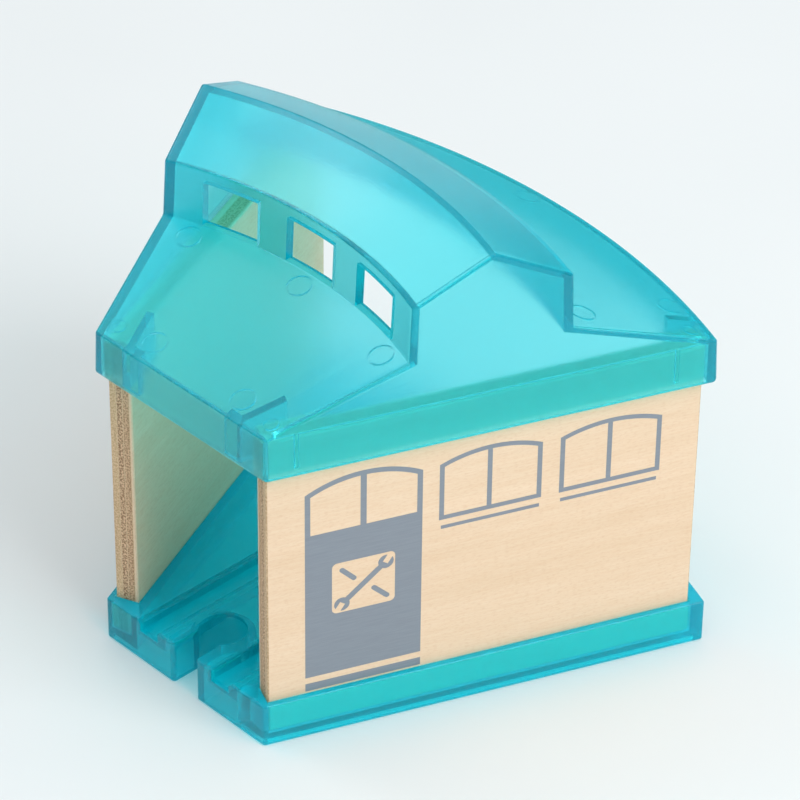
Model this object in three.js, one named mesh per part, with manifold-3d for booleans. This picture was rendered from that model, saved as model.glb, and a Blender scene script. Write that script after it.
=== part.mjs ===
// Engine shed for a wooden toy railway: one stall of a roundhouse.
// The plan is a 45 degree wedge, so eight stalls make a full circle around a turntable.
// Millimetres, +Z up, the track runs along Y and the straight entrance front faces -Y.
// The origin is at the middle of the box around the shed, on the surface it stands on.

import * as THREE from 'three';
import { mergeVertices } from 'three/addons/utils/BufferGeometryUtils.js';
import Module from 'manifold-3d';

const wasm = await Module();
wasm.setup();

// ---- Plan -------------------------------------------------------------------------------
const HALF_ANGLE = THREE.MathUtils.degToRad(22.5);
const FRONT_WIDTH = 58.4; // roof, across the straight front
const ROOF_SIDE = 113; // roof, along one side
const BASE_SIDE_INSET = 0.65; // base side, inside the roof's side
const BASE_BACK_LEDGE = 1.2; // base back, beyond the roof's back

const APEX_GAP = FRONT_WIDTH / 2 / Math.tan(HALF_ANGLE); // from where the sides meet to the front
const FRONT_RADIUS = FRONT_WIDTH / 2 / Math.sin(HALF_ANGLE); // the same, along a side
const ROOF_BACK_RADIUS = FRONT_RADIUS + ROOF_SIDE;
const BASE_BACK_RADIUS = ROOF_BACK_RADIUS + BASE_BACK_LEDGE;
const DEPTH = BASE_BACK_RADIUS - APEX_GAP;
const FRONT_Y = -DEPTH / 2;
const APEX_Y = FRONT_Y - APEX_GAP;
const FAR = 300; // longer than any part of the shed
const ARC_STEPS = 30;

// ---- Heights ----------------------------------------------------------------------------
const BASE_TOP = 12; // the standard thickness of wooden track
const RIM_BOTTOM = 78.8;
const EAVE = 90.7;
const FRONT_FOOT = 102.5; // of the front clerestory
const BACK_FOOT = 102.9; // of the back clerestory
const CLERESTORY_TOP = 117.4;
const RIDGE = 127.5;

// ---- Roof moulding ----------------------------------------------------------------------
// Radii are measured from where the sides meet.
const FRONT_FOOT_RADIUS = 111.9;
const FRONT_TOP_RADIUS = 112.6;
const RIDGE_RADIUS = 132.4;
const BACK_TOP_RADIUS = 152;
const BACK_FOOT_RADIUS = 152.3;
const END_LEAN = 0.3; // how far the front and back of the rim lean in by the eave
const SIDE_LEAN = Math.tan(THREE.MathUtils.degToRad(2)); // of rim and gables, per unit of height
const SIDE_FLARE = 0.4; // how far the rim's bottom stands outside the wedge
const END_WALL = 2.1; // front and back of the rim
const FRONT_SHELL = 2.2; // front clerestory
const BACK_SHELL = 1.9; // back clerestory
const SLOPE_DROP = 2.1; // the lower slopes' thickness, measured straight down
const UPPER_DROP = 2.4; // the upper slopes' thickness, measured straight down
const GABLE_WALL = 2.3;
const RIM_INSIDE = 1.8; // inside face of the rim's sides, from the wedge's side
const RIM_STEP = 89.7; // height where the rim's inside face steps in to the gable's

const WINDOW_PITCH = THREE.MathUtils.degToRad(12.65);
const WINDOW_WIDTH = 15.8;
const WINDOW_SILL = FRONT_FOOT + 0.05;
const WINDOW_HEAD = 114.2;

// ---- Walls ------------------------------------------------------------------------------
const PANEL_THICKNESS = 6;
const PANEL_LENGTH = 109;
const PANEL_BOTTOM = 3.3;
const PANEL_TOP = 88.3;
const PANEL_OFFSET = 2.5; // outer face, inside the roof's side
const PANEL_START = 1.5; // front end, from the roof's front corner along the side
const PANEL_PLAY = 0.3;

// ---- Guides inside the roof that hold the panels' ends ------------------------------------
const GUIDE_NEAR = 9.2;
const GUIDE_FAR = 11.2;
const GUIDE_REACH = 9.5;
const GUIDE_BOTTOM = RIM_BOTTOM + 0.5;
const FOOT_FROM = 15;
const FOOT_TO = 20.5;
const FOOT_DEPTH = 3.7;
const CRUSH_RADIUS = 0.75;
const CRUSH_OFFSET = 1.45;
const CRUSH_BOTTOM = 80.3;
const CRUSH_FRONT = 8.4;
const CRUSH_BACK = ROOF_SIDE - 10.1;

// ---- Base moulding ----------------------------------------------------------------------
const BASE_WALL = 2;
const POCKET_WALL = 2;
const DECK = 2;
const POCKET_FLOOR = PANEL_BOTTOM - PANEL_PLAY;
const POCKET_UNDERSIDE = 1.2;
const GROOVE_INNER = 9.7; // standard wooden track: 6.3 mm grooves, 25.7 mm apart at the middle
const GROOVE_OUTER = 16;
const GROOVE_DEPTH = 3;
const SOCKET_RADIUS = 6;
const SOCKET_CENTRE = 12.7; // behind the front
const NECK_HALF = 4.1;
const NECK_CORNER = 1.2;
const SOCKET_WALL = 2;

// ---- Materials --------------------------------------------------------------------------
const teal = (r, g, b) => new THREE.MeshStandardMaterial({
  color: new THREE.Color(r, g, b),
  roughness: 0.25,
  metalness: 0,
  transparent: true,
  opacity: 0.6,
});
const birch = () => new THREE.MeshStandardMaterial({
  color: new THREE.Color(0.93, 0.78, 0.58),
  roughness: 0.6,
  metalness: 0,
});

// ---- Solids -----------------------------------------------------------------------------

/** Turns a closed geometry into a solid that can be joined and cut. */
function solid(geometry) {
  const bare = geometry.clone();
  bare.deleteAttribute('normal');
  bare.deleteAttribute('uv');
  const merged = mergeVertices(bare, 1e-4);
  return new wasm.Manifold(new wasm.Mesh({
    numProp: 3,
    vertProperties: Float32Array.from(merged.attributes.position.array),
    triVerts: Uint32Array.from(merged.index.array),
  }));
}

/** Makes a named mesh of a finished solid. */
function part(name, body, material) {
  const { vertProperties, triVerts } = body.getMesh();
  const geometry = new THREE.BufferGeometry();
  geometry.setAttribute('position', new THREE.BufferAttribute(vertProperties, 3));
  geometry.setIndex(new THREE.BufferAttribute(triVerts, 1));
  const mesh = new THREE.Mesh(geometry, material);
  mesh.name = name;
  return mesh;
}

/** An upright prism over a plan outline. */
function prism(shape, bottom, top) {
  const outline = shape instanceof THREE.Shape ? shape : new THREE.Shape(shape);
  const geometry = new THREE.ExtrudeGeometry(outline, {
    depth: top - bottom,
    bevelEnabled: false,
    curveSegments: ARC_STEPS,
  });
  return solid(geometry.translate(0, 0, bottom));
}

/** A box given by its lowest and highest corners. */
function block(low, high) {
  const size = new THREE.Vector3(...high).sub(new THREE.Vector3(...low));
  const geometry = new THREE.BoxGeometry(size.x, size.y, size.z);
  return solid(geometry.translate(low[0] + size.x / 2, low[1] + size.y / 2, low[2] + size.z / 2));
}

/** An upright round post. */
function post(radius, x, y, bottom, top, sides = 24) {
  const geometry = new THREE.CylinderGeometry(radius, radius, top - bottom, sides);
  return solid(geometry.rotateX(Math.PI / 2).translate(x, y, (bottom + top) / 2));
}

/**
 * A plan point beside one side of the shed: along is measured back from the roof's front
 * corner, inset is measured square to the side, and hand is 1 for the right, -1 for the left.
 */
function beside(hand, along, inset) {
  const x = FRONT_WIDTH / 2 + along * Math.sin(HALF_ANGLE) - inset * Math.cos(HALF_ANGLE);
  const y = FRONT_Y + along * Math.cos(HALF_ANGLE) + inset * Math.sin(HALF_ANGLE);
  return new THREE.Vector2(hand * x, y);
}

/** A strip along one side, between two insets and two distances from the front corner. */
function strip(hand, from, to, near, far, bottom, top) {
  const corners = [
    beside(hand, from, near),
    beside(hand, to, near),
    beside(hand, to, far),
    beside(hand, from, far),
  ];
  return prism(hand > 0 ? corners : corners.reverse(), bottom, top);
}

/** Everything between the two sides moved in by inset. */
function wedge(inset, bottom, top) {
  const tip = new THREE.Vector2(0, APEX_Y + inset / Math.sin(HALF_ANGLE));
  const reach = new THREE.Vector2(FAR * Math.sin(HALF_ANGLE), FAR * Math.cos(HALF_ANGLE));
  return prism([
    tip,
    new THREE.Vector2(tip.x + reach.x, tip.y + reach.y),
    new THREE.Vector2(tip.x - reach.x, tip.y + reach.y),
  ], bottom, top);
}

/** Everything nearer to where the sides meet than radius. */
function disc(radius, bottom, top) {
  return post(radius, 0, APEX_Y, bottom, top, 8 * ARC_STEPS);
}

/** How far the roof's side leans in from the wedge's side at a height. */
const lean = (height) => (height - RIM_BOTTOM) * SIDE_LEAN - SIDE_FLARE;

/** A line across the shed: an arc of radius reach, or the straight front at that distance. */
const arc = (reach, height, inset) => ({ reach, height, inset, straight: false });
const straight = (reach, height, inset) => ({ reach, height, inset, straight: true });

/** The point on such a line at share t, from -1 at the left side to 1 at the right. */
function across({ reach, height, inset, straight: level }, t) {
  if (level) {
    const half = (reach * Math.sin(HALF_ANGLE) - inset) / Math.cos(HALF_ANGLE);
    return [t * half, APEX_Y + reach, height];
  }
  const angle = t * (HALF_ANGLE - Math.asin(inset / reach));
  return [reach * Math.sin(angle), APEX_Y + reach * Math.cos(angle), height];
}

/** The solid whose skin passes through a closed loop of such lines. */
function loft(lines) {
  const positions = [];
  const faces = [];
  const count = lines.length;
  for (let step = 0; step <= ARC_STEPS; step++) {
    for (const line of lines) {
      positions.push(...across(line, (2 * step) / ARC_STEPS - 1));
    }
  }
  for (let step = 0; step < ARC_STEPS; step++) {
    for (let k = 0; k < count; k++) {
      const a = step * count + k;
      const b = step * count + ((k + 1) % count);
      faces.push(a, b, b + count, a, b + count, a + count);
    }
  }
  const outline = lines.map(({ reach, height }) => new THREE.Vector2(reach, height));
  const last = ARC_STEPS * count;
  for (const [a, b, c] of THREE.ShapeUtils.triangulateShape(outline, [])) {
    faces.push(a, c, b, last + a, last + b, last + c);
  }
  const geometry = new THREE.BufferGeometry();
  geometry.setAttribute('position', new THREE.Float32BufferAttribute(positions, 3));
  geometry.setIndex(faces);
  return solid(geometry);
}

// ---- Roof -------------------------------------------------------------------------------

/** The roof's outside, from the front rim under it to the back rim and over the ridge. */
function roofOutside() {
  return loft([
    straight(APEX_GAP, RIM_BOTTOM, lean(RIM_BOTTOM)),
    arc(ROOF_BACK_RADIUS, RIM_BOTTOM, lean(RIM_BOTTOM)),
    arc(ROOF_BACK_RADIUS - END_LEAN, EAVE, lean(EAVE)),
    arc(BACK_FOOT_RADIUS, BACK_FOOT, lean(BACK_FOOT)),
    arc(BACK_TOP_RADIUS, CLERESTORY_TOP, lean(CLERESTORY_TOP)),
    arc(RIDGE_RADIUS, RIDGE, lean(RIDGE)),
    arc(FRONT_TOP_RADIUS, CLERESTORY_TOP, lean(CLERESTORY_TOP)),
    arc(FRONT_FOOT_RADIUS, FRONT_FOOT, lean(FRONT_FOOT)),
    straight(APEX_GAP + END_LEAN, EAVE, lean(EAVE)),
  ]);
}

/** The hollow under the roof. insetAt(height) is its sides' distance from the wedge's sides. */
function roofHollow(insetAt) {
  const front = APEX_GAP + END_WALL;
  const back = ROOF_BACK_RADIUS - END_WALL;
  const frontRise = (FRONT_FOOT - EAVE) / (FRONT_FOOT_RADIUS - FRONT_RADIUS);
  const backRise = (BACK_FOOT - EAVE) / (ROOF_BACK_RADIUS - BACK_FOOT_RADIUS);
  const upperRise = (RIDGE - CLERESTORY_TOP) / (RIDGE_RADIUS - FRONT_TOP_RADIUS);
  const eave = EAVE - SLOPE_DROP;
  const upperFoot = CLERESTORY_TOP - UPPER_DROP;
  const line = (make, reach, height) => make(reach, height, insetAt(height));
  return loft([
    line(straight, front, RIM_BOTTOM - 1),
    line(arc, back, RIM_BOTTOM - 1),
    line(arc, back, eave + backRise * END_WALL),
    line(arc, BACK_FOOT_RADIUS - BACK_SHELL, BACK_FOOT - SLOPE_DROP + backRise * BACK_SHELL),
    line(arc, BACK_TOP_RADIUS - BACK_SHELL, upperFoot + upperRise * BACK_SHELL),
    line(arc, RIDGE_RADIUS, RIDGE - UPPER_DROP),
    line(arc, FRONT_TOP_RADIUS + FRONT_SHELL, upperFoot + upperRise * FRONT_SHELL),
    line(arc, FRONT_FOOT_RADIUS + FRONT_SHELL, FRONT_FOOT - SLOPE_DROP + frontRise * FRONT_SHELL),
    line(straight, front, eave + frontRise * END_WALL),
  ]);
}

/** One open window through the front clerestory. */
function clerestoryWindow(angle) {
  const depth = 4 * FRONT_SHELL;
  const geometry = new THREE.BoxGeometry(WINDOW_WIDTH, depth, WINDOW_HEAD - WINDOW_SILL);
  geometry.translate(0, FRONT_TOP_RADIUS, (WINDOW_SILL + WINDOW_HEAD) / 2);
  geometry.rotateZ(-angle);
  return solid(geometry.translate(0, APEX_Y, 0));
}

/** The ribs and feet that guide the panels, untrimmed above. */
function roofGuides(hand) {
  const frontRib = strip(hand, -GUIDE_REACH, GUIDE_REACH, GUIDE_NEAR, GUIDE_FAR, GUIDE_BOTTOM, RIDGE);
  const backRib = strip(hand, ROOF_SIDE - GUIDE_REACH, FAR, GUIDE_NEAR, GUIDE_FAR, GUIDE_BOTTOM, RIDGE);
  const left = Math.min(hand * FOOT_FROM, hand * FOOT_TO);
  const right = Math.max(hand * FOOT_FROM, hand * FOOT_TO);
  const foot = block([left, FRONT_Y + 1, GUIDE_BOTTOM], [right, FRONT_Y + FOOT_DEPTH, RIDGE]);
  let guides = frontRib.add(backRib).add(foot);
  for (const along of [CRUSH_FRONT, CRUSH_BACK]) {
    const spot = beside(hand, along, CRUSH_OFFSET);
    guides = guides.add(post(CRUSH_RADIUS, spot.x, spot.y, CRUSH_BOTTOM, RIM_STEP + 0.1));
  }
  return guides;
}

function roof() {
  const outside = roofOutside();
  const upper = roofHollow((height) => lean(height) + GABLE_WALL);
  const belowStep = block([-FAR, -FAR, 0], [FAR, FAR, RIM_STEP]);
  const lower = roofHollow(() => RIM_INSIDE).intersect(belowStep);
  let shell = outside.subtract(upper.add(lower));
  shell = shell.add(roofGuides(1).add(roofGuides(-1)).intersect(outside));
  for (const place of [-1, 0, 1]) {
    shell = shell.subtract(clerestoryWindow(place * WINDOW_PITCH));
  }
  return part('roof', shell, teal(0.16, 0.72, 0.78));
}

// ---- Base -------------------------------------------------------------------------------

/** The base's plan, moved in by inset, from bottom to top. */
function basePlan(inset, bottom, top) {
  const behindFront = block([-FAR, FRONT_Y + inset, bottom], [FAR, FAR, top]);
  return wedge(BASE_SIDE_INSET + inset, bottom, top)
    .intersect(disc(BASE_BACK_RADIUS - inset, bottom, top))
    .intersect(behindFront);
}

/** The keyhole that takes the peg of a piece of track, with a rounded mouth. */
function socket() {
  const centre = FRONT_Y + SOCKET_CENTRE;
  const join = Math.asin(NECK_HALF / SOCKET_RADIUS);
  const outer = NECK_HALF + NECK_CORNER;
  const shape = new THREE.Shape();
  shape.moveTo(-outer, FRONT_Y - 1);
  shape.lineTo(outer, FRONT_Y - 1);
  shape.lineTo(outer, FRONT_Y);
  shape.absarc(outer, FRONT_Y + NECK_CORNER, NECK_CORNER, -Math.PI / 2, -Math.PI, true);
  shape.absarc(0, centre, SOCKET_RADIUS, -Math.PI / 2 + join, 1.5 * Math.PI - join, false);
  shape.absarc(-outer, FRONT_Y + NECK_CORNER, NECK_CORNER, 0, -Math.PI / 2, true);
  return prism(shape, -1, BASE_TOP + 1);
}

/** The wall around the keyhole, under the deck. */
function socketWall() {
  const centre = FRONT_Y + SOCKET_CENTRE;
  const half = NECK_HALF + SOCKET_WALL;
  const neck = block([-half, FRONT_Y + 0.1, 0], [half, centre, BASE_TOP - 0.1]);
  return neck.add(post(SOCKET_RADIUS + SOCKET_WALL, 0, centre, 0, BASE_TOP - 0.1, 48));
}

function base() {
  const outline = basePlan(0, 0, BASE_TOP);
  let body = outline.subtract(basePlan(BASE_WALL, -1, BASE_TOP - DECK));
  const pocketInside = PANEL_OFFSET + PANEL_THICKNESS + PANEL_PLAY + POCKET_WALL;
  const pocketEnd = PANEL_START + PANEL_LENGTH + PANEL_PLAY;
  let added = socketWall();
  let cut = socket();
  for (const hand of [1, -1]) {
    const inner = Math.min(hand * GROOVE_INNER, hand * GROOVE_OUTER);
    const outer = Math.max(hand * GROOVE_INNER, hand * GROOVE_OUTER);
    const floor = BASE_TOP - GROOVE_DEPTH;
    added = added
      .add(block([inner - DECK, FRONT_Y, floor - DECK], [outer + DECK, DEPTH, BASE_TOP - 0.1]))
      .add(strip(hand, -FAR / 4, FAR, BASE_SIDE_INSET, pocketInside, POCKET_UNDERSIDE, BASE_TOP - 0.1));
    cut = cut
      .add(block([inner, -DEPTH, floor], [outer, DEPTH, BASE_TOP + 1]))
      .add(strip(
        hand,
        PANEL_START - PANEL_PLAY,
        pocketEnd,
        PANEL_OFFSET - PANEL_PLAY,
        PANEL_OFFSET + PANEL_THICKNESS + PANEL_PLAY,
        POCKET_FLOOR,
        BASE_TOP + 1,
      ));
  }
  body = body.add(added.intersect(outline)).subtract(cut);
  return part('base', body, teal(0.1, 0.6, 0.68));
}

// ---- Walls ------------------------------------------------------------------------------

/** One plywood wall, square at all its edges. */
function wall(name, hand) {
  const geometry = new THREE.BoxGeometry(PANEL_THICKNESS, PANEL_LENGTH, PANEL_TOP - PANEL_BOTTOM);
  geometry.deleteAttribute('normal');
  geometry.deleteAttribute('uv');
  const mesh = new THREE.Mesh(mergeVertices(geometry), birch());
  const middle = beside(
    hand,
    PANEL_START + PANEL_LENGTH / 2,
    PANEL_OFFSET + PANEL_THICKNESS / 2,
  );
  mesh.position.set(middle.x, middle.y, (PANEL_BOTTOM + PANEL_TOP) / 2);
  mesh.rotation.z = -hand * HALF_ANGLE;
  mesh.name = name;
  return mesh;
}

const group = new THREE.Group();
group.add(base(), wall('right_wall', 1), wall('left_wall', -1), roof());

export default group;
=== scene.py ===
"""Engine shed for a wooden toy railway: one wedge-shaped stall of a roundhouse.

Two translucent teal mouldings, a base and a clerestory roof, hold two printed plywood walls.
Everything is worked out in millimetres, in the CAD model's frame, and turned into metres as
it becomes a mesh. The track runs along Y and the straight entrance front faces -Y.
"""
import math

import bmesh
import bpy
from mathutils import Matrix, Vector


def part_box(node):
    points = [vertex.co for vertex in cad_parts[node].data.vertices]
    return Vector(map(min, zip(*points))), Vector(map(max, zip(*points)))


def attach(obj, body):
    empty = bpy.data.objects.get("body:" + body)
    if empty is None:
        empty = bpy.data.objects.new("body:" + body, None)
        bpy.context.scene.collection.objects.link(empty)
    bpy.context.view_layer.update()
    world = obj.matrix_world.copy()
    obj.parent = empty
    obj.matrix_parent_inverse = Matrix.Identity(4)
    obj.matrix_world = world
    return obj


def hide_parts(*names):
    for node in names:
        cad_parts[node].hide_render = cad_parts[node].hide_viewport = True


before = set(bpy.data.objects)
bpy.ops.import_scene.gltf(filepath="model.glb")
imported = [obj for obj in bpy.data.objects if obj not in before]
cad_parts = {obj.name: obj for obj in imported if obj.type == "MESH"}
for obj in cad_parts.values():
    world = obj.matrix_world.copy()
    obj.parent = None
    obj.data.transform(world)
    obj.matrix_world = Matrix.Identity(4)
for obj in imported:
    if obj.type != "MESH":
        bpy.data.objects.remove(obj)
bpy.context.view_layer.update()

MM = 0.001

# ---- Plan ---------------------------------------------------------------------------------
HALF_ANGLE = math.radians(22.5)
SIN, COS = math.sin(HALF_ANGLE), math.cos(HALF_ANGLE)
FRONT_WIDTH = 58.4
ROOF_SIDE = 113.0
BASE_SIDE_INSET = 0.65
BASE_BACK_LEDGE = 1.2
APEX_GAP = FRONT_WIDTH / 2 / math.tan(HALF_ANGLE)
FRONT_RADIUS = FRONT_WIDTH / 2 / SIN
ROOF_BACK_RADIUS = FRONT_RADIUS + ROOF_SIDE
BASE_BACK_RADIUS = ROOF_BACK_RADIUS + BASE_BACK_LEDGE
FRONT_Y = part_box("base")[0].y / MM
APEX_Y = FRONT_Y - APEX_GAP
FAR = 300.0
ARC_STEPS = 90

# ---- Heights ------------------------------------------------------------------------------
BASE_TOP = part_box("base")[1].z / MM
RIM_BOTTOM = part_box("roof")[0].z / MM
EAVE = 90.7
FRONT_FOOT = 102.5
BACK_FOOT = 102.9
CLERESTORY_TOP = 117.4
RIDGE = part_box("roof")[1].z / MM

# ---- Roof moulding: radii are measured from where the sides meet --------------------------
FRONT_FOOT_RADIUS = 111.9
FRONT_TOP_RADIUS = 112.6
RIDGE_RADIUS = 132.4
BACK_TOP_RADIUS = 152.0
BACK_FOOT_RADIUS = 152.3
END_LEAN = 0.3
SIDE_LEAN = math.tan(math.radians(2))
SIDE_FLARE = 0.4
END_WALL = 2.1
FRONT_SHELL = 2.2
BACK_SHELL = 1.9
SLOPE_DROP = 2.1
UPPER_DROP = 2.4
GABLE_WALL = 2.3
RIM_INSIDE = 1.8
RIM_STEP = 89.7
WINDOW_PITCH = math.radians(12.65)
WINDOW_WIDTH = 15.8
WINDOW_SILL = FRONT_FOOT + 0.05
WINDOW_HEAD = 114.2
ARRIS = 0.7  # rounding of the mouldings' outer edges
CREASE = 0.3  # rounding of their inner corners
RIM_CORNER = 1.1  # rounding under the roof's front and back edges

# ---- Guides inside the roof ---------------------------------------------------------------
GUIDE_NEAR, GUIDE_FAR, GUIDE_REACH = 9.2, 11.2, 9.5
GUIDE_BOTTOM = RIM_BOTTOM + 0.5
FOOT_FROM, FOOT_TO, FOOT_DEPTH = 15.0, 20.5, 3.7
CRUSH_RADIUS, CRUSH_OFFSET, CRUSH_BOTTOM = 0.75, 1.45, 80.3
CRUSH_ALONG = (8.4, ROOF_SIDE - 10.1)

# ---- Walls --------------------------------------------------------------------------------
PANEL_THICKNESS = 6.0
PANEL_LENGTH = 109.0
PANEL_BOTTOM = 3.3
PANEL_TOP = 88.3
PANEL_OFFSET = 2.5
PANEL_START = 1.5
PANEL_PLAY = 0.3

# ---- Base moulding ------------------------------------------------------------------------
BASE_WALL = 2.0
POCKET_WALL = 2.0
DECK = 2.0
POCKET_FLOOR = PANEL_BOTTOM - PANEL_PLAY
POCKET_UNDERSIDE = 1.2
GROOVE_INNER, GROOVE_OUTER, GROOVE_DEPTH = 9.7, 16.0, 3.0
GROOVE_CHAMFER = 1.0
SOCKET_RADIUS, SOCKET_CENTRE = 6.0, 12.7
NECK_HALF, NECK_CORNER = 4.1, 1.2
SOCKET_WALL = 2.0
BASE_ARRIS, BASE_CREASE = 0.6, 0.3
SUNK = 0.1  # how far inner walls stop inside the outer ones, so that no two faces coincide


# ---- Meshes -------------------------------------------------------------------------------

def new_object(name, mesh):
    """Puts a mesh in the scene."""
    piece = bpy.data.objects.new(name, mesh)
    bpy.context.scene.collection.objects.link(piece)
    return piece


def mesh_object(name, points, faces):
    """A mesh from points in millimetres, its faces turned out."""
    mesh = bpy.data.meshes.new(name)
    mesh.from_pydata([Vector(point) * MM for point in points], [], faces)
    shape = bmesh.new()
    shape.from_mesh(mesh)
    bmesh.ops.remove_doubles(shape, verts=shape.verts, dist=1e-7)
    bmesh.ops.recalc_face_normals(shape, faces=shape.faces)
    shape.to_mesh(mesh)
    shape.free()
    return new_object(name, mesh)


def combine(target, other, operation):
    """Cuts, joins or trims target with other, which is used up."""
    step = target.modifiers.new("combine", "BOOLEAN")
    step.operation = operation
    step.solver = "MANIFOLD"
    step.object = other
    graph = bpy.context.evaluated_depsgraph_get()
    result = bpy.data.meshes.new_from_object(target.evaluated_get(graph))
    target.modifiers.clear()
    old = target.data
    target.data = result
    bpy.data.meshes.remove(old)
    bpy.data.meshes.remove(other.data)
    return target


def copy_of(piece):
    """A second piece of the same shape, for a Boolean to use up."""
    return new_object(piece.name + "_copy", piece.data.copy())


def finish_faces(piece, angle=32):
    """Smooth shading over the roundings, with the flat faces kept flat."""
    piece.data.shade_smooth()
    piece.data.set_sharp_from_angle(angle=math.radians(angle))
    weighting = piece.modifiers.new("flat_faces", "WEIGHTED_NORMAL")
    weighting.keep_sharp = True
    weighting.weight = 100


def prism(name, outline, bottom, top):
    """An upright prism over a plan outline."""
    count = len(outline)
    points = [(x, y, bottom) for x, y in outline] + [(x, y, top) for x, y in outline]
    faces = [(k, (k + 1) % count, count + (k + 1) % count, count + k) for k in range(count)]
    faces.append(tuple(range(count)))
    faces.append(tuple(range(count, 2 * count)))
    return mesh_object(name, points, faces)


def circle(radius, x=0.0, y=0.0, sides=48):
    """The outline of a circle."""
    turns = [2 * math.pi * k / sides for k in range(sides)]
    return [(x + radius * math.cos(a), y + radius * math.sin(a)) for a in turns]


def turned_arc(x, y, radius, start, end, steps=10):
    """Outline points on an arc from one angle to another."""
    angles = [start + (end - start) * k / steps for k in range(steps + 1)]
    return [(x + radius * math.cos(a), y + radius * math.sin(a)) for a in angles]


def beside(hand, along, inset):
    """A plan point beside one side, as the CAD model measures it."""
    x = FRONT_WIDTH / 2 + along * SIN - inset * COS
    y = FRONT_Y + along * COS + inset * SIN
    return hand * x, y


def strip(hand, start, end, near, far, bottom, top):
    """A strip along one side."""
    corners = [beside(hand, along, inset)
               for along, inset in ((start, near), (end, near), (end, far), (start, far))]
    return prism("strip", corners, bottom, top)


# ---- Lofts across the wedge ---------------------------------------------------------------

def rounded(corners, steps=5):
    """Rounds a profile of (reach, height, straight, radius) corners, listed anticlockwise.

    Returns (reach, height, straight, normal reach, normal height) points.
    """
    points = []
    count = len(corners)
    for k, (reach, height, straight, radius) in enumerate(corners):
        here = Vector((reach, height))
        before = here - Vector(corners[k - 1][:2])
        after = Vector(corners[(k + 1) % count][:2]) - here
        way_in, way_out = before.normalized(), after.normalized()
        turn = math.atan2(way_in.x * way_out.y - way_in.y * way_out.x, way_in.dot(way_out))
        room = 0.45 * min(before.length, after.length) / abs(math.tan(turn / 2))
        radius = min(radius, room)
        bend = 1 if turn > 0 else -1
        first = Vector((way_in.y, -way_in.x))
        start = here - way_in * radius * abs(math.tan(turn / 2))
        centre = start - first * radius * bend
        for step in range(steps + 1):
            angle = turn * step / steps
            normal = Vector((first.x * math.cos(angle) - first.y * math.sin(angle),
                             first.x * math.sin(angle) + first.y * math.cos(angle)))
            spot = centre + normal * radius * bend
            points.append((spot.x, spot.y, straight, normal.x, normal.y))
    return points


def across(reach, height, straight, inset, share):
    """The point at a share, from -1 at the left side to 1 at the right, of a line."""
    if straight:
        return share * (reach * SIN - inset) / COS, APEX_Y + reach, height
    angle = share * (HALF_ANGLE - math.asin(inset / reach))
    return reach * math.sin(angle), APEX_Y + reach * math.cos(angle), height


def loft(name, corners, inset_at, edge, edge_steps=4):
    """Carries a rounded profile through the wedge's angle, with its end edges rounded too."""
    profile = rounded(corners)
    turns = [math.pi / 2 * k / edge_steps for k in range(edge_steps + 1)]
    ends = [(edge * (1 - math.cos(a)), edge * (1 - math.sin(a))) for a in turns]
    sections = [(-1.0, inset, shrink) for inset, shrink in ends]
    sections += [(2 * k / ARC_STEPS - 1, edge, 0.0) for k in range(1, ARC_STEPS)]
    sections += [(1.0, inset, shrink) for inset, shrink in reversed(ends)]
    points = []
    for share, extra, shrink in sections:
        for reach, height, straight, out, up in profile:
            low = height - shrink * up
            points.append(across(reach - shrink * out, low, straight, inset_at(low) + extra, share))
    count = len(profile)
    faces = []
    for section in range(len(sections) - 1):
        for k in range(count):
            a = section * count + k
            b = section * count + (k + 1) % count
            faces.append((a, b, b + count, a + count))
    faces.append(tuple(range(count)))
    faces.append(tuple(range(len(points) - count, len(points))))
    return mesh_object(name, points, faces)


# ---- Roof ---------------------------------------------------------------------------------

def lean(height):
    """How far the roof's side leans in from the wedge's side at a height."""
    return (height - RIM_BOTTOM) * SIDE_LEAN - SIDE_FLARE


def roof_outside():
    return loft("roof", [
        (APEX_GAP, RIM_BOTTOM, True, RIM_CORNER),
        (ROOF_BACK_RADIUS, RIM_BOTTOM, False, RIM_CORNER),
        (ROOF_BACK_RADIUS - END_LEAN, EAVE, False, ARRIS),
        (BACK_FOOT_RADIUS, BACK_FOOT, False, CREASE),
        (BACK_TOP_RADIUS, CLERESTORY_TOP, False, ARRIS),
        (RIDGE_RADIUS, RIDGE, False, ARRIS),
        (FRONT_TOP_RADIUS, CLERESTORY_TOP, False, ARRIS),
        (FRONT_FOOT_RADIUS, FRONT_FOOT, False, CREASE),
        (APEX_GAP + END_LEAN, EAVE, True, ARRIS),
    ], lean, ARRIS)


FRONT_RISE = (FRONT_FOOT - EAVE) / (FRONT_FOOT_RADIUS - FRONT_RADIUS)
BACK_RISE = (BACK_FOOT - EAVE) / (ROOF_BACK_RADIUS - BACK_FOOT_RADIUS)
UPPER_RISE = (RIDGE - CLERESTORY_TOP) / (RIDGE_RADIUS - FRONT_TOP_RADIUS)


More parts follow.
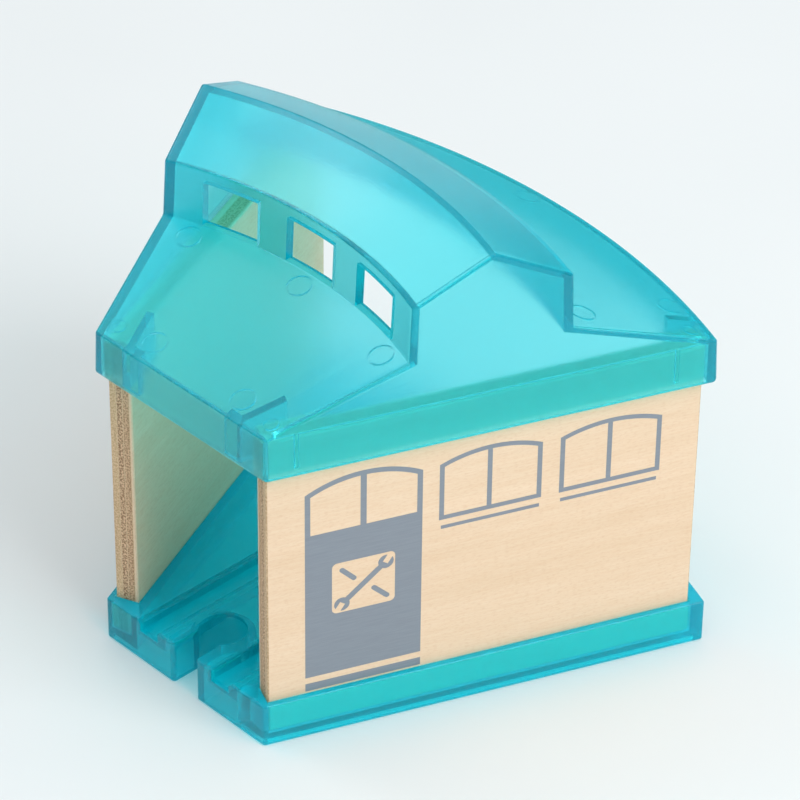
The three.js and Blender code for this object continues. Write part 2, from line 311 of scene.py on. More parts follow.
def roof_hollow(inset_at):
    """The hollow under the roof."""
    front = APEX_GAP + END_WALL
    back = ROOF_BACK_RADIUS - END_WALL
    eave = EAVE - SLOPE_DROP
    upper = CLERESTORY_TOP - UPPER_DROP
    return loft("hollow", [
        (front, RIM_BOTTOM - 1, True, 0.01),
        (back, RIM_BOTTOM - 1, False, 0.01),
        (back, eave + BACK_RISE * END_WALL, False, CREASE),
        (BACK_FOOT_RADIUS - BACK_SHELL, BACK_FOOT - SLOPE_DROP + BACK_RISE * BACK_SHELL, False,
         CREASE),
        (BACK_TOP_RADIUS - BACK_SHELL, upper + UPPER_RISE * BACK_SHELL, False, CREASE),
        (RIDGE_RADIUS, RIDGE - UPPER_DROP, False, CREASE),
        (FRONT_TOP_RADIUS + FRONT_SHELL, upper + UPPER_RISE * FRONT_SHELL, False, CREASE),
        (FRONT_FOOT_RADIUS + FRONT_SHELL, FRONT_FOOT - SLOPE_DROP + FRONT_RISE * FRONT_SHELL,
         False, CREASE),
        (front, eave + FRONT_RISE * END_WALL, True, CREASE),
    ], inset_at, 0.3, 2)


def clerestory_window(angle):
    """The solid cut out for one open window."""
    half = WINDOW_WIDTH / 2
    near, far = FRONT_TOP_RADIUS - 9, FRONT_TOP_RADIUS + 9
    outline = []
    for x, y in ((-half, near), (half, near), (half, far), (-half, far)):
        outline.append((x * math.cos(angle) + y * math.sin(angle),
                        APEX_Y - x * math.sin(angle) + y * math.cos(angle)))
    return prism("window", outline, WINDOW_SILL, WINDOW_HEAD)


RING_WIDTH, RING_DEPTH, RING_BELOW = 0.35, 0.5, 0.6
RING_SIDES = 40


def ejector_ring(reach, angle, radius, front):
    """The shallow ring that an ejector pin leaves on the underside of a lower slope."""
    if front:
        start = (APEX_GAP + END_LEAN) / math.cos(angle)
        rise = (FRONT_FOOT - EAVE) / (FRONT_FOOT_RADIUS - start)
        height = EAVE + rise * (reach - start) - SLOPE_DROP
    else:
        rise = -(BACK_FOOT - EAVE) / (ROOF_BACK_RADIUS - END_LEAN - BACK_FOOT_RADIUS)
        height = BACK_FOOT + rise * (reach - BACK_FOOT_RADIUS) - SLOPE_DROP
    inner = radius - RING_WIDTH
    points, faces = [], []
    for k in range(RING_SIDES):
        turn = 2 * math.pi * k / RING_SIDES
        for ring, level in ((radius, -RING_BELOW), (radius, RING_DEPTH), (inner, RING_DEPTH),
                            (inner, -RING_BELOW)):
            points.append((ring * math.cos(turn), ring * math.sin(turn), level))
    for k in range(RING_SIDES):
        for j in range(4):
            a, b = 4 * k + j, 4 * k + (j + 1) % 4
            faces.append((a, b, (b + 4) % (4 * RING_SIDES), (a + 4) % (4 * RING_SIDES)))
    tilt = Matrix.Rotation(-angle, 3, "Z") @ Matrix.Rotation(math.atan(rise), 3, "X")
    place = Vector((reach * math.sin(angle), APEX_Y + reach * math.cos(angle), height))
    return mesh_object("ring", [tilt @ Vector(point) + place for point in points], faces)


EJECTOR_RINGS = [  # radius from where the sides meet, degrees off the middle, ring radius, front
    (109.0, 0.0, 3.25, True), (109.0, 17.7, 3.25, True), (79.0, 11.2, 3.25, True),
    (80.5, 19.2, 2.0, True), (184.0, 0.0, 3.25, False), (184.0, 17.6, 3.25, False),
    (158.0, 19.2, 3.25, False), (183.5, 21.0, 2.0, False),
]


def build_roof():
    outside = roof_outside()
    shell = combine(copy_of(outside), roof_hollow(lambda height: lean(height) + GABLE_WALL),
                    "DIFFERENCE")
    square = [(-FAR, -FAR), (FAR, -FAR), (FAR, FAR), (-FAR, FAR)]
    lower = combine(roof_hollow(lambda height: RIM_INSIDE), prism("below", square, 0, RIM_STEP),
                    "INTERSECT")
    shell = combine(shell, lower, "DIFFERENCE")
    for hand in (1, -1):
        foot = [(hand * FOOT_FROM, FRONT_Y + 1), (hand * FOOT_TO, FRONT_Y + 1),
                (hand * FOOT_TO, FRONT_Y + FOOT_DEPTH), (hand * FOOT_FROM, FRONT_Y + FOOT_DEPTH)]
        guides = [
            strip(hand, -GUIDE_REACH, GUIDE_REACH, GUIDE_NEAR, GUIDE_FAR, GUIDE_BOTTOM, RIDGE),
            strip(hand, ROOF_SIDE - GUIDE_REACH, FAR, GUIDE_NEAR, GUIDE_FAR, GUIDE_BOTTOM, RIDGE),
            prism("foot", foot, GUIDE_BOTTOM, RIDGE),
        ]
        for along in CRUSH_ALONG:
            x, y = beside(hand, along, CRUSH_OFFSET)
            guides.append(prism("crush_rib", circle(CRUSH_RADIUS, x, y, 20), CRUSH_BOTTOM,
                                RIM_STEP + 0.1))
        for guide in guides:
            shell = combine(shell, combine(guide, copy_of(outside), "INTERSECT"), "UNION")
    for reach, degrees, radius, front in EJECTOR_RINGS:
        for hand in ((1, -1) if degrees else (1,)):
            ring = ejector_ring(reach, math.radians(hand * degrees), radius, front)
            shell = combine(shell, ring, "DIFFERENCE")
    for place in (-1, 0, 1):
        shell = combine(shell, clerestory_window(place * WINDOW_PITCH), "DIFFERENCE")
    bpy.data.meshes.remove(outside.data)
    shell.name = "roof_moulding"
    return shell


# ---- Base ---------------------------------------------------------------------------------

def base_loft(inset, bottom, top, edge):
    return loft("base", [
        (APEX_GAP + inset, bottom, True, edge),
        (BASE_BACK_RADIUS - inset, bottom, False, edge),
        (BASE_BACK_RADIUS - inset, top, False, edge),
        (APEX_GAP + inset, top, True, edge),
    ], lambda height: BASE_SIDE_INSET + inset, edge)


def keyhole():
    """The socket for the peg of a piece of track, with a rounded mouth."""
    centre = FRONT_Y + SOCKET_CENTRE
    join = math.asin(NECK_HALF / SOCKET_RADIUS)
    outer = NECK_HALF + NECK_CORNER
    outline = [(-outer, FRONT_Y - 1), (outer, FRONT_Y - 1)]
    outline += turned_arc(outer, FRONT_Y + NECK_CORNER, NECK_CORNER, -math.pi / 2, -math.pi)
    outline += turned_arc(0, centre, SOCKET_RADIUS, -math.pi / 2 + join, 1.5 * math.pi - join, 56)
    outline += turned_arc(-outer, FRONT_Y + NECK_CORNER, NECK_CORNER, 0, -math.pi / 2)
    return prism("keyhole", outline, -1, BASE_TOP + 1)


def groove(hand):
    """One wheel groove, with its outer top edge chamfered."""
    floor = BASE_TOP - GROOVE_DEPTH
    section = [
        (GROOVE_INNER, floor), (GROOVE_OUTER, floor), (GROOVE_OUTER, BASE_TOP - GROOVE_CHAMFER),
        (GROOVE_OUTER + GROOVE_CHAMFER + 1, BASE_TOP + 1), (GROOVE_INNER - 0.3, BASE_TOP + 1),
        (GROOVE_INNER - 0.3, BASE_TOP - 0.05), (GROOVE_INNER, BASE_TOP - 0.35),
    ]
    count = len(section)
    points = [(hand * x, y, z) for y in (-FAR, FAR) for x, z in section]
    faces = [(k, (k + 1) % count, count + (k + 1) % count, count + k) for k in range(count)]
    faces.append(tuple(range(count)))
    faces.append(tuple(range(count, 2 * count)))
    return mesh_object("groove", points, faces)


def build_base():
    outline = base_loft(0, 0, BASE_TOP, BASE_ARRIS)
    hollow = base_loft(BASE_WALL, -1, BASE_TOP - DECK, BASE_CREASE)
    body = combine(copy_of(outline), hollow, "DIFFERENCE")
    centre = FRONT_Y + SOCKET_CENTRE
    half = NECK_HALF + SOCKET_WALL
    neck = [(-half, FRONT_Y + SUNK), (half, FRONT_Y + SUNK), (half, centre), (-half, centre)]
    added = [
        prism("neck", neck, 0, BASE_TOP - SUNK),
        prism("ring", circle(SOCKET_RADIUS + SOCKET_WALL, 0, centre), 0, BASE_TOP - SUNK),
    ]
    inside = PANEL_OFFSET + PANEL_THICKNESS + PANEL_PLAY + POCKET_WALL
    floor = BASE_TOP - GROOVE_DEPTH
    cuts = [keyhole()]
    for hand in (1, -1):
        low, high = GROOVE_INNER - DECK, GROOVE_OUTER + DECK
        trough = [(hand * low, FRONT_Y), (hand * high, FRONT_Y), (hand * high, FAR),
                  (hand * low, FAR)]
        added.append(prism("trough", trough, floor - DECK, BASE_TOP - SUNK))
        added.append(strip(hand, -FAR / 4, FAR, BASE_SIDE_INSET, inside, POCKET_UNDERSIDE,
                           BASE_TOP - SUNK))
        cuts.append(groove(hand))
        cuts.append(strip(hand, PANEL_START - PANEL_PLAY, PANEL_START + PANEL_LENGTH + PANEL_PLAY,
                          PANEL_OFFSET - PANEL_PLAY, PANEL_OFFSET + PANEL_THICKNESS + PANEL_PLAY,
                          POCKET_FLOOR, BASE_TOP + 1))
    for extra in added:
        body = combine(body, combine(extra, copy_of(outline), "INTERSECT"), "UNION")
    for cut in cuts:
        body = combine(body, cut, "DIFFERENCE")
    bpy.data.meshes.remove(outline.data)
    body.name = "base_moulding"
    return body


# ---- Walls --------------------------------------------------------------------------------

FACE_PLY, FACE_END, CROSS_PLY, CORE_PLY, GLUE_LINE = range(5)
PLIES = (  # from the outer face inwards: thickness, material, material of its cut ends
    (1.85, FACE_PLY, FACE_END), (1.6, FACE_END, CROSS_PLY), (1.75, FACE_END, CORE_PLY),
    (0.8, FACE_PLY, FACE_PLY),
)
GLUE = 0.2
GLUE_RECESS = 0.05
PANEL_CHAMFER, PLY_CHAMFER, GLUE_CHAMFER = 0.3, 0.04, 0.005


def wall_frame(hand):
    """The frame of one wall: X along it from the front, Y inwards, Z up."""
    x, y = beside(hand, PANEL_START, PANEL_OFFSET)
    along = Vector((hand * SIN, COS, 0))
    inward = Vector((-hand * COS, SIN, 0))
    frame_axes = Matrix((along, inward, (0, 0, 1))).transposed().to_4x4()
    return Matrix.Translation(Vector((x, y, PANEL_BOTTOM)) * MM) @ frame_axes


def slab(shape, low, high, material, end_material, chamfers):
    """Adds a box to a bmesh, its edges on the outer and inner face chamfered."""
    outer, inner = chamfers
    levels = [(low[1], outer), (low[1] + outer, 0), (high[1] - inner, 0), (high[1], inner)]
    rings = []
    for depth, inset in levels:
        corners = ((low[0] + inset, low[2] + inset), (high[0] - inset, low[2] + inset),
                   (high[0] - inset, high[2] - inset), (low[0] + inset, high[2] - inset))
        rings.append([shape.verts.new(Vector((x, depth, z)) * MM) for x, z in corners])
    for near, far in zip(rings, rings[1:]):
        for k in range(4):
            j = (k + 1) % 4
            side = shape.faces.new((near[k], near[j], far[j], far[k]))
            side.material_index = end_material if k % 2 else material
    shape.faces.new(rings[0]).material_index = material
    shape.faces.new(rings[-1]).material_index = material


def build_wall(name, hand, materials):
    """One plywood wall, with the glue lines a hair below the plies' edges."""
    shape = bmesh.new()
    height = PANEL_TOP - PANEL_BOTTOM
    depth = 0.0
    for number, (thickness, kind, end_kind) in enumerate(PLIES):
        start = depth + (GLUE / 2 if number else 0)
        end = depth + thickness - (GLUE / 2 if number < len(PLIES) - 1 else 0)
        chamfers = (PLY_CHAMFER if number else PANEL_CHAMFER,
                    PLY_CHAMFER if number < len(PLIES) - 1 else PANEL_CHAMFER)
        slab(shape, (0, start, 0), (PANEL_LENGTH, end, height), kind, end_kind, chamfers)
        if number:
            slab(shape, (GLUE_RECESS, depth - GLUE / 2, GLUE_RECESS),
                 (PANEL_LENGTH - GLUE_RECESS, depth + GLUE / 2, height - GLUE_RECESS),
                 GLUE_LINE, GLUE_LINE, (GLUE_CHAMFER, GLUE_CHAMFER))
        depth += thickness
    bmesh.ops.recalc_face_normals(shape, faces=shape.faces)
    mesh = bpy.data.meshes.new(name)
    shape.to_mesh(mesh)
    shape.free()
    for material in materials:
        mesh.materials.append(material)
    piece = new_object(name, mesh)
    piece.matrix_world = wall_frame(hand)
    return piece


# ---- Printed windows and door: (distance from the roof's front corner, height) -------------

INK_DEPTH = 0.03
LINE = 1.35
WINDOW_LINE = 1.2
DOOR_LEFT, DOOR_RIGHT, DOOR_MIDDLE = 10.9, 40.1, 25.4
DOOR_BOTTOM, DOOR_PANEL_TOP, DOOR_SPRING, DOOR_CROWN = 16.3, 58.5, 70.4, 74.2
DOOR_MULLION = 1.5
DOOR_SILL_BOTTOM, DOOR_SILL_TOP = 12.3, 14.5
BADGE = (17.6, 33.4, 33.9, 48.7, 1.3)  # left, right, bottom, top, corner radius
SPANNER_ENDS = (20.1, 36.3), (31.1, 46.0)
SPANNER_STEM, SPANNER_HEAD, SPANNER_JAW = 1.5, 3.9, 1.5
SPANNER_THROAT, SPANNER_SKEW = 0.35, math.radians(15)
DASHES = (("upper", (20.1, 46.4), (23.1, 43.3)), ("lower", (28.1, 39.1), (31.4, 35.9)))
DASH_WIDTH = 1.3
WINDOWS = (  # name, left, right, mullion, crown, ends of the sill
    ("front_window", 44.3, 70.15, 56.9, 73.3, (44.8, 69.7)),
    ("back_window", 74.7, 100.6, 87.3, 73.1, (75.1, 99.9)),
)
WINDOW_BOTTOM, WINDOW_SPRING, WINDOW_MULLION = 54.5, 70.6, 1.2
WINDOW_SILL_BOTTOM, WINDOW_SILL_TOP = 51.82, 52.8


def arch_outline(left, right, bottom, spring, crown):
    """An opening with upright sides under a flat arch, anticlockwise."""
    half = (right - left) / 2
    middle = (left + right) / 2
    rise = crown - spring
    radius = (half * half + rise * rise) / (2 * rise)
    turn = math.asin(half / radius)
    outline = [(left, bottom), (right, bottom)]
    for step in range(25):
        angle = turn - 2 * turn * step / 24
        outline.append((middle + radius * math.sin(angle),
                        crown - radius + radius * math.cos(angle)))
    return outline


def pane(left, right, bottom, arch, line):
    """The part of an arched opening, inside its frame, between two uprights."""
    a_left, a_right, spring, crown = arch
    half = (a_right - a_left) / 2
    middle = (a_left + a_right) / 2
    rise = crown - spring
    radius = (half * half + rise * rise) / (2 * rise)
    inner = radius - line
    outline = [(left, bottom), (right, bottom)]
    for step in range(15):
        x = right + (left - right) * step / 14
        outline.append((x, crown - radius + math.sqrt(inner * inner - (x - middle) ** 2)))
    return outline


def bar(start, end, width, steps=8):
    """A straight stroke with round ends."""
    (x0, y0), (x1, y1) = start, end
    turn = math.atan2(y1 - y0, x1 - x0)
    half = math.pi / 2
    return (turned_arc(x1, y1, width / 2, turn - half, turn + half, steps)
            + turned_arc(x0, y0, width / 2, turn + half, turn + 3 * half, steps))


def rectangle(left, right, bottom, top, radius=0.0):
    if radius == 0:
        return [(left, bottom), (right, bottom), (right, top), (left, top)]
    corners = ((right - radius, bottom + radius, -0.5), (right - radius, top - radius, 0.0),
               (left + radius, top - radius, 0.5), (left + radius, bottom + radius, 1.0))
    outline = []
    for x, y, turn in corners:
        outline += turned_arc(x, y, radius, turn * math.pi, (turn + 0.5) * math.pi, 6)
    return outline


def spanner(start, end, stem, head, jaw):
    """A double-ended open spanner from one end to the other."""
    (x0, y0), (x1, y1) = start, end
    turn = math.atan2(y1 - y0, x1 - x0)
    outline = []
    for x, y, facing in ((x1, y1, turn), (x0, y0, turn + math.pi)):
        back = math.asin(stem / head)
        mouth = math.asin(jaw / head)
        ahead = facing + SPANNER_SKEW
        outline += turned_arc(x, y, head / 2, facing - math.pi + back, ahead - mouth, 9)
        for side in (-1, 1):
            outline.append((
                x - SPANNER_THROAT * math.cos(ahead) - side * jaw / 2 * math.sin(ahead),
                y - SPANNER_THROAT * math.sin(ahead) + side * jaw / 2 * math.cos(ahead)))
        outline += turned_arc(x, y, head / 2, ahead + mouth, facing + math.pi - back, 9)
    return outline


def printed(name, hand, outlines, material):
    """A printed patch, filled between its outlines, lying on a wall's outer face."""
    curve = bpy.data.curves.new(name, "CURVE")
    curve.dimensions = "2D"
    curve.fill_mode = "BOTH"
    curve.extrude = INK_DEPTH / 2 * MM
    for outline in outlines:
        spline = curve.splines.new("POLY")
        spline.points.add(len(outline) - 1)
        for point, (along, height) in zip(spline.points, outline):
            point.co = ((along - PANEL_START) * MM, (height - PANEL_BOTTOM) * MM, 0, 1)
        spline.use_cyclic_u = True
    source = new_object(name + "_outline", curve)
    graph = bpy.context.evaluated_depsgraph_get()
    mesh = bpy.data.meshes.new_from_object(source.evaluated_get(graph))
    bpy.data.curves.remove(curve)
    mesh.materials.clear()
    mesh.materials.append(material)
    piece = new_object(name, mesh)
    stand = Matrix(((1, 0, 0), (0, 0, 1), (0, 1, 0))).to_4x4()
    offset = Matrix.Translation((0, -INK_DEPTH / 2 * MM, 0))
    mesh.transform(offset @ stand)
    shape = bmesh.new()
    shape.from_mesh(mesh)
    bmesh.ops.remove_doubles(shape, verts=shape.verts, dist=1e-7)
    bmesh.ops.recalc_face_normals(shape, faces=shape.faces)
    shape.to_mesh(mesh)
    shape.free()
    piece.matrix_world = wall_frame(hand)
    return piece


def print_wall(side, hand, ink):
    """The door, its sill, the sign on it and two windows with their sills."""
    door_arch = (DOOR_LEFT, DOOR_RIGHT, DOOR_SPRING, DOOR_CROWN)
    left_of_middle = DOOR_MIDDLE - DOOR_MULLION / 2
    right_of_middle = DOOR_MIDDLE + DOOR_MULLION / 2
    shapes = [
        ("door", [
            arch_outline(DOOR_LEFT, DOOR_RIGHT, DOOR_BOTTOM, DOOR_SPRING, DOOR_CROWN),
            pane(DOOR_LEFT + LINE, left_of_middle, DOOR_PANEL_TOP, door_arch, LINE),
            pane(right_of_middle, DOOR_RIGHT - LINE, DOOR_PANEL_TOP, door_arch, LINE),
            rectangle(*BADGE),
        ]),
        ("door_sill", [rectangle(DOOR_LEFT, DOOR_RIGHT, DOOR_SILL_BOTTOM, DOOR_SILL_TOP)]),
        ("spanner", [spanner(*SPANNER_ENDS, SPANNER_STEM, SPANNER_HEAD, SPANNER_JAW)]),
    ]
    for name, start, end in DASHES:
        shapes.append((f"dash_{name}", [bar(start, end, DASH_WIDTH)]))
    for name, left, right, mullion, crown, sill in WINDOWS:
        arch = (left, right, WINDOW_SPRING, crown)
        foot = WINDOW_BOTTOM + WINDOW_LINE
        shapes.append((name, [
            arch_outline(left, right, WINDOW_BOTTOM, WINDOW_SPRING, crown),
            pane(left + WINDOW_LINE, mullion - WINDOW_MULLION / 2, foot, arch, WINDOW_LINE),
            pane(mullion + WINDOW_MULLION / 2, right - WINDOW_LINE, foot, arch, WINDOW_LINE),
        ]))
        shapes.append((f"{name}_sill",
                       [rectangle(*sill, WINDOW_SILL_BOTTOM, WINDOW_SILL_TOP)]))
    return [printed(f"{side}_{name}_print", hand, outlines, ink) for name, outlines in shapes]


# ---- Materials ----------------------------------------------------------------------------

class Nodes:
    """A material's node tree, built by short calls."""

    def __init__(self, name):
        self.material = bpy.data.materials.new(name)
        self.material.use_nodes = True
        self.tree = self.material.node_tree
        self.tree.nodes.clear()
        self.output = self.add("ShaderNodeOutputMaterial")

    def add(self, kind, **settings):
        node = self.tree.nodes.new(kind)
        for key, value in settings.items():
            if hasattr(node, key):
                setattr(node, key, value)
            else:
                node.inputs[key.replace("_", " ")].default_value = value
        return node

    def link(self, source, target):
        self.tree.links.new(source, target)

    def place(self, scale=(1, 1, 1)):
        """Object coordinates in millimetres, stretched by scale."""
        where = self.add("ShaderNodeTexCoord")
        mapping = self.add("ShaderNodeMapping")
        mapping.inputs["Scale"].default_value = [factor / MM for factor in scale]
        self.link(where.outputs["Object"], mapping.inputs["Vector"])
        return mapping.outputs["Vector"]

    def noise(self, vector, scale, detail=3.0, roughness=0.5, distortion=0.0):
        node = self.add("ShaderNodeTexNoise")
        node.inputs["Scale"].default_value = scale
        node.inputs["Detail"].default_value = detail
        node.inputs["Roughness"].default_value = roughness
        node.inputs["Distortion"].default_value = distortion
        self.link(vector, node.inputs["Vector"])
        return node.outputs["Fac"]

    def ramp(self, value, stops):
        node = self.add("ShaderNodeValToRGB")
        ramp = node.color_ramp
        while len(ramp.elements) < len(stops):
            ramp.elements.new(0.5)
        for element, (place, colour) in zip(ramp.elements, stops):
            element.position = place
            element.color = (*colour, 1)
        self.link(value, node.inputs["Fac"])
        return node.outputs["Color"]

    def span(self, value, low, high, start=0.0, end=1.0):
        node = self.add("ShaderNodeMapRange")
        for key, number in (("From Min", start), ("From Max", end), ("To Min", low),
                            ("To Max", high)):
            node.inputs[key].default_value = number
        self.link(value, node.inputs["Value"])
        return node.outputs["Result"]

    def mix(self, factor, a, b, blend="MIX"):
        node = self.add("ShaderNodeMix", data_type="RGBA", blend_type=blend)
        colours = [socket for socket in node.inputs if socket.type == "RGBA"]
        for socket, colour in zip(colours, (a, b)):
            if isinstance(colour, tuple):
                socket.default_value = (*colour, 1)
            else:
                self.link(colour, socket)
        if isinstance(factor, float):
            node.inputs["Factor"].default_value = factor
        else:
            self.link(factor, node.inputs["Factor"])
        return next(socket for socket in node.outputs if socket.type == "RGBA")

    def bump(self, height, strength, distance, normal=None):
        node = self.add("ShaderNodeBump")
        node.inputs["Strength"].default_value = strength
        node.inputs["Distance"].default_value = distance * MM
        self.link(height, node.inputs["Height"])
        if normal is not None:
            self.link(normal, node.inputs["Normal"])
        return node.outputs["Normal"]


FROST = 0.22  # how far the mould's texture blurs what is seen through the plastic
PLASTIC_IOR = 1.49
PLASTIC_GLOSS = 0.14
SKIN_TINT = (0.9, 0.99, 1.0)
PIGMENT = (0.0, 0.63, 0.77)


def teal_plastic(name, density, depth_colour, haze, passed):
    """Translucent teal plastic, lightly frosted by its mould.

    density and depth_colour take red out of the light through its thickness, haze is the share
    that its pigment scatters, and passed is the tint of the lamps' light behind each surface.
    """
    nodes = Nodes(name)
    place = nodes.place()
    grain = nodes.noise(place, 1.6, 3.0, 0.6)
    flow = nodes.noise(nodes.place((0.03, 0.05, 0.05)), 1.0, 2.0)
    shader = nodes.add("ShaderNodeBsdfPrincipled")
    shader.inputs["Base Color"].default_value = (*SKIN_TINT, 1)
    shader.inputs["Transmission Weight"].default_value = 1.0
    shader.inputs["Specular IOR Level"].default_value = PLASTIC_GLOSS
    shader.inputs["IOR"].default_value = PLASTIC_IOR
    nodes.link(nodes.span(flow, FROST * 0.85, FROST * 1.15, 0.3, 0.7), shader.inputs["Roughness"])
    fine = nodes.bump(grain, 0.5, 0.03)
    nodes.link(nodes.bump(flow, 0.3, 0.25, fine), shader.inputs["Normal"])
    pigment = nodes.add("ShaderNodeBsdfDiffuse")
    pigment.inputs["Color"].default_value = (*PIGMENT, 1)
    plastic = nodes.add("ShaderNodeMixShader")
    plastic.inputs[0].default_value = haze
    nodes.link(shader.outputs[0], plastic.inputs[1])
    nodes.link(pigment.outputs[0], plastic.inputs[2])
    clear = nodes.add("ShaderNodeBsdfTransparent")
    clear.inputs["Color"].default_value = (*passed, 1)
    path = nodes.add("ShaderNodeLightPath")
    both = nodes.add("ShaderNodeMixShader")
    nodes.link(path.outputs["Is Shadow Ray"], both.inputs[0])
    nodes.link(plastic.outputs[0], both.inputs[1])
    nodes.link(clear.outputs[0], both.inputs[2])
    depth = nodes.add("ShaderNodeVolumeAbsorption")
    depth.inputs["Color"].default_value = (*depth_colour, 1)
    depth.inputs["Density"].default_value = density
    nodes.link(both.outputs[0], nodes.output.inputs["Surface"])
    nodes.link(depth.outputs[0], nodes.output.inputs["Volume"])
    return nodes.material


def face_ply():
    """Pale wood with its grain along the wall, in soft bands with short dark pores."""
    nodes = Nodes("face_ply")
    fibres = nodes.noise(nodes.place((0.07, 1.0, 1.0)), 1.5, 4.0, 0.7)
    bands = nodes.noise(nodes.place((0.008, 0.16, 0.16)), 1.0, 3.0, 0.5, 0.6)
    pores = nodes.noise(nodes.place((0.3, 1.0, 1.0)), 2.4, 2.0, 0.6)
    tone = nodes.ramp(fibres, [(0.3, (0.89, 0.665, 0.46)), (0.62, (0.93, 0.735, 0.54))])
    shade = nodes.ramp(bands, [(0.3, (0.93, 0.9, 0.86)), (0.7, (1.0, 1.0, 1.0))])
    colour = nodes.mix(0.8, tone, shade, "MULTIPLY")
    colour = nodes.mix(nodes.span(pores, 0.0, 0.3, 0.5, 0.66), colour, (0.74, 0.49, 0.30))
    shader = nodes.add("ShaderNodeBsdfPrincipled")
    shader.inputs["Specular IOR Level"].default_value = 0.225
    nodes.link(colour, shader.inputs["Base Color"])
    nodes.link(nodes.span(fibres, 0.62, 0.5), shader.inputs["Roughness"])
    nodes.link(nodes.bump(fibres, 0.3, 0.08), shader.inputs["Normal"])
    nodes.link(shader.outputs[0], nodes.output.inputs["Surface"])
    return nodes.material


def cut_ply(name, light, dark, fineness):
    """The sawn edge of a ply, speckled by its cut fibres and streaked by the saw."""
    nodes = Nodes(name)
    specks = nodes.noise(nodes.place(), fineness, 2.0, 0.6)
    streaks = nodes.noise(nodes.place((1.0, 1.0, 0.06)), 1.1, 2.0)
    colour = nodes.ramp(specks, [(0.42, dark), (0.58, light)])
    shade = nodes.ramp(streaks, [(0.35, (0.82, 0.79, 0.76)), (0.65, (1.0, 1.0, 1.0))])
    colour = nodes.mix(0.7, colour, shade, "MULTIPLY")
    shader = nodes.add("ShaderNodeBsdfPrincipled")
    shader.inputs["Roughness"].default_value = 0.55
    nodes.link(colour, shader.inputs["Base Color"])
    nodes.link(nodes.bump(specks, 0.4, 0.1), shader.inputs["Normal"])
    nodes.link(shader.outputs[0], nodes.output.inputs["Surface"])
    return nodes.material


def glue_line():
    """Pale glue between two plies."""
    nodes = Nodes("glue_line")
    place = nodes.place()
    colour = nodes.ramp(nodes.noise(place, 1.2, 3.0), [(0.35, (0.70, 0.49, 0.29)),
                                                       (0.65, (0.88, 0.68, 0.46))])
    shader = nodes.add("ShaderNodeBsdfPrincipled")
    shader.inputs["Roughness"].default_value = 0.5
    nodes.link(colour, shader.inputs["Base Color"])
    nodes.link(shader.outputs[0], nodes.output.inputs["Surface"])
    return nodes.material


def printing_ink():
    """Flat grey ink that lets a little of the wood's grain through."""
    nodes = Nodes("printing_ink")
    fibres = nodes.noise(nodes.place((0.05, 1.0, 1.0)), 2.6, 4.0, 0.65)
    dots = nodes.noise(nodes.place(), 5.0, 2.0, 0.6)
    colour = nodes.ramp(fibres, [(0.3, (0.232, 0.268, 0.317)), (0.7, (0.266, 0.306, 0.358))])
    colour = nodes.mix(nodes.span(dots, 0.0, 0.35, 0.6, 0.8), colour, (0.36, 0.38, 0.40))
    shader = nodes.add("ShaderNodeBsdfPrincipled")
    nodes.link(colour, shader.inputs["Base Color"])
    nodes.link(nodes.span(fibres, 0.5, 0.42), shader.inputs["Roughness"])
    nodes.link(nodes.bump(fibres, 0.2, 0.04), shader.inputs["Normal"])
    nodes.link(shader.outputs[0], nodes.output.inputs["Surface"])
    return nodes.material


def studio_floor():
    nodes = Nodes("studio_floor")
    spots = nodes.noise(nodes.place((0.01, 0.01, 0.01)), 1.0, 2.0)
    colour = nodes.ramp(spots, [(0.3, (0.80, 0.835, 0.845)), (0.7, (0.815, 0.85, 0.86))])
    shader = nodes.add("ShaderNodeBsdfPrincipled")
    shader.inputs["Roughness"].default_value = 0.7
    shader.inputs["Specular IOR Level"].default_value = 0.2
    nodes.link(colour, shader.inputs["Base Color"])
    nodes.link(shader.outputs[0], nodes.output.inputs["Surface"])
    return nodes.material


# ---- Camera and studio --------------------------------------------------------------------

CAMERA_AZIMUTH = math.radians(45.76)
CAMERA_ELEVATION = math.radians(35.97)
CAMERA_DISTANCE = 1019.1
CAMERA_TARGET = Vector((2.01, 9.41, 53.41))
CAMERA_LENS = 188.52
CAMERA_ROLL = math.radians(0.72)
SKY_LOW, SKY_HIGH = 0.08, 1.13  # the studio's soft light, at the horizon and overhead
LIGHT_BOUNCES = 32  # many, because light crosses one clear surface of the plastic after another
FLOOR_HALF, FLOOR_DROP = 4000, 0.02


def make_camera():
    data = bpy.data.cameras.new("camera")
    data.lens = CAMERA_LENS
    data.sensor_width = 36
    data.clip_end = 50
    camera = new_object("camera", data)
    sin, cos = math.sin(CAMERA_AZIMUTH), math.cos(CAMERA_AZIMUTH)
    level = math.cos(CAMERA_ELEVATION)
    back = Vector((sin * level, -cos * level, math.sin(CAMERA_ELEVATION)))
    right = Vector((cos, sin, 0))
    up = back.cross(right)
    rolled_right = right * math.cos(CAMERA_ROLL) + up * math.sin(CAMERA_ROLL)
    rolled_up = up * math.cos(CAMERA_ROLL) - right * math.sin(CAMERA_ROLL)
    turn = Matrix((rolled_right, rolled_up, back)).transposed().to_4x4()
    place = (CAMERA_TARGET + back * CAMERA_DISTANCE) * MM
    camera.matrix_world = Matrix.Translation(place) @ turn
    bpy.context.scene.camera = camera


def make_light(name, place, target, size, power, colour=(1, 1, 1)):
    """A round area lamp, in metres and watts."""
    data = bpy.data.lights.new(name, "AREA")
    data.shape = "DISK"
    data.size = size
    data.energy = power
    data.color = colour
    lamp = new_object(name, data)
    lamp.location = place
    lamp.rotation_euler = (Vector(target) - Vector(place)).to_track_quat("-Z", "Y").to_euler()


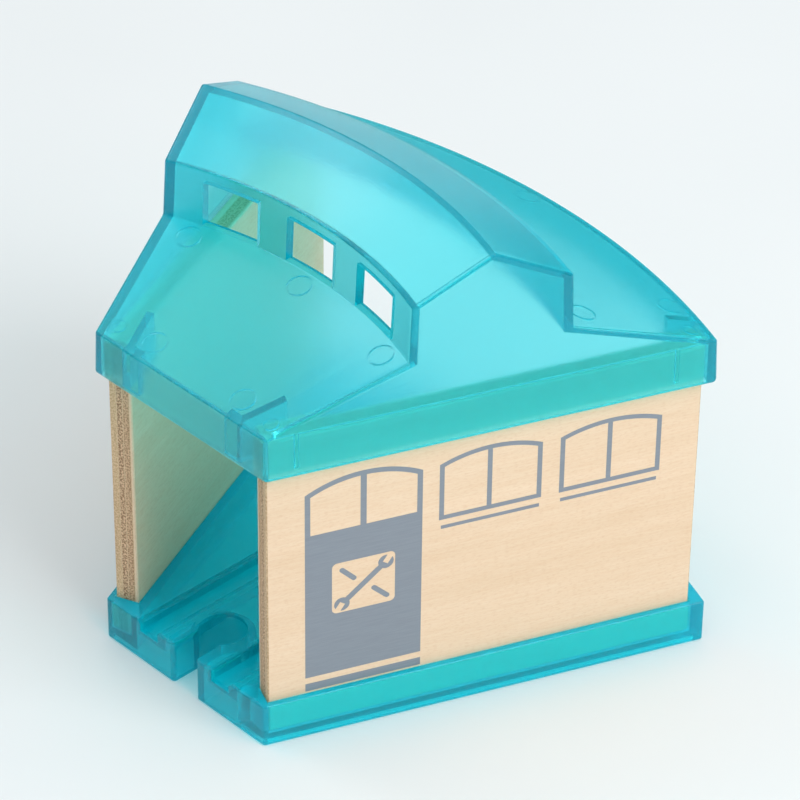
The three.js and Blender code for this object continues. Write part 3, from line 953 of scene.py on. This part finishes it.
def make_studio():
    scene = bpy.context.scene
    scene.view_settings.view_transform = "Standard"
    world = bpy.data.worlds.new("studio")
    world.use_nodes = True
    tree = world.node_tree
    background = tree.nodes["Background"]
    background.inputs["Color"].default_value = (0.97, 0.99, 1.0, 1)
    where = tree.nodes.new("ShaderNodeTexCoord")
    parts = tree.nodes.new("ShaderNodeSeparateXYZ")
    strength = tree.nodes.new("ShaderNodeMapRange")
    strength.interpolation_type = "SMOOTHSTEP"
    strength.inputs["To Min"].default_value = SKY_LOW
    strength.inputs["To Max"].default_value = SKY_HIGH
    tree.links.new(where.outputs["Generated"], parts.inputs["Vector"])
    tree.links.new(parts.outputs["Z"], strength.inputs["Value"])
    tree.links.new(strength.outputs["Result"], background.inputs["Strength"])
    scene.world = world
    scene.cycles.max_bounces = LIGHT_BOUNCES
    scene.cycles.transmission_bounces = LIGHT_BOUNCES
    corners = ((-1, -1), (1, -1), (1, 1), (-1, 1))
    floor = mesh_object("studio_floor",
                        [(FLOOR_HALF * x, FLOOR_HALF * y, -FLOOR_DROP) for x, y in corners],
                        [(0, 1, 2, 3)])
    floor.data.materials.append(studio_floor())
    make_light("key", (1.2, 0.15, 1.0), (0, 0, 0.05), 1.2, 12.6, (1.0, 0.985, 0.97))
    make_light("left_softbox", (-0.80, -0.22, 1.31), (0, 0, 0.1), 0.3, 1.2)


# ---- Assembly -----------------------------------------------------------------------------

def main():
    make_camera()
    make_studio()
    roof_plastic = teal_plastic("teal_roof_plastic", 440.0, (0.0, 0.978, 0.993), 0.2,
                                (0.05, 0.70, 0.70))
    base_plastic = teal_plastic("teal_base_plastic", 700.0, (0.0, 0.986, 0.996), 0.27,
                                (0.10, 0.92, 0.96))
    plies = [
        face_ply(),
        cut_ply("face_ply_end", (0.86, 0.63, 0.39), (0.64, 0.42, 0.23), 2.0),
        cut_ply("cross_ply", (0.86, 0.60, 0.38), (0.36, 0.19, 0.09), 1.9),
        cut_ply("core_ply", (0.80, 0.55, 0.34), (0.44, 0.25, 0.13), 2.2),
        glue_line(),
    ]
    ink = printing_ink()

    roof = build_roof()
    roof.data.materials.clear()
    roof.data.materials.append(roof_plastic)
    finish_faces(roof)
    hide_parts("roof")
    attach(roof, "root")

    base = build_base()
    base.data.materials.clear()
    base.data.materials.append(base_plastic)
    finish_faces(base)
    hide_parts("base")
    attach(base, "root")

    for side, hand in (("right", 1), ("left", -1)):
        wall = build_wall(f"{side}_plywood", hand, plies)
        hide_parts(f"{side}_wall")
        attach(wall, "root")
        for piece in print_wall(side, hand, ink):
            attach(piece, "root")


main()
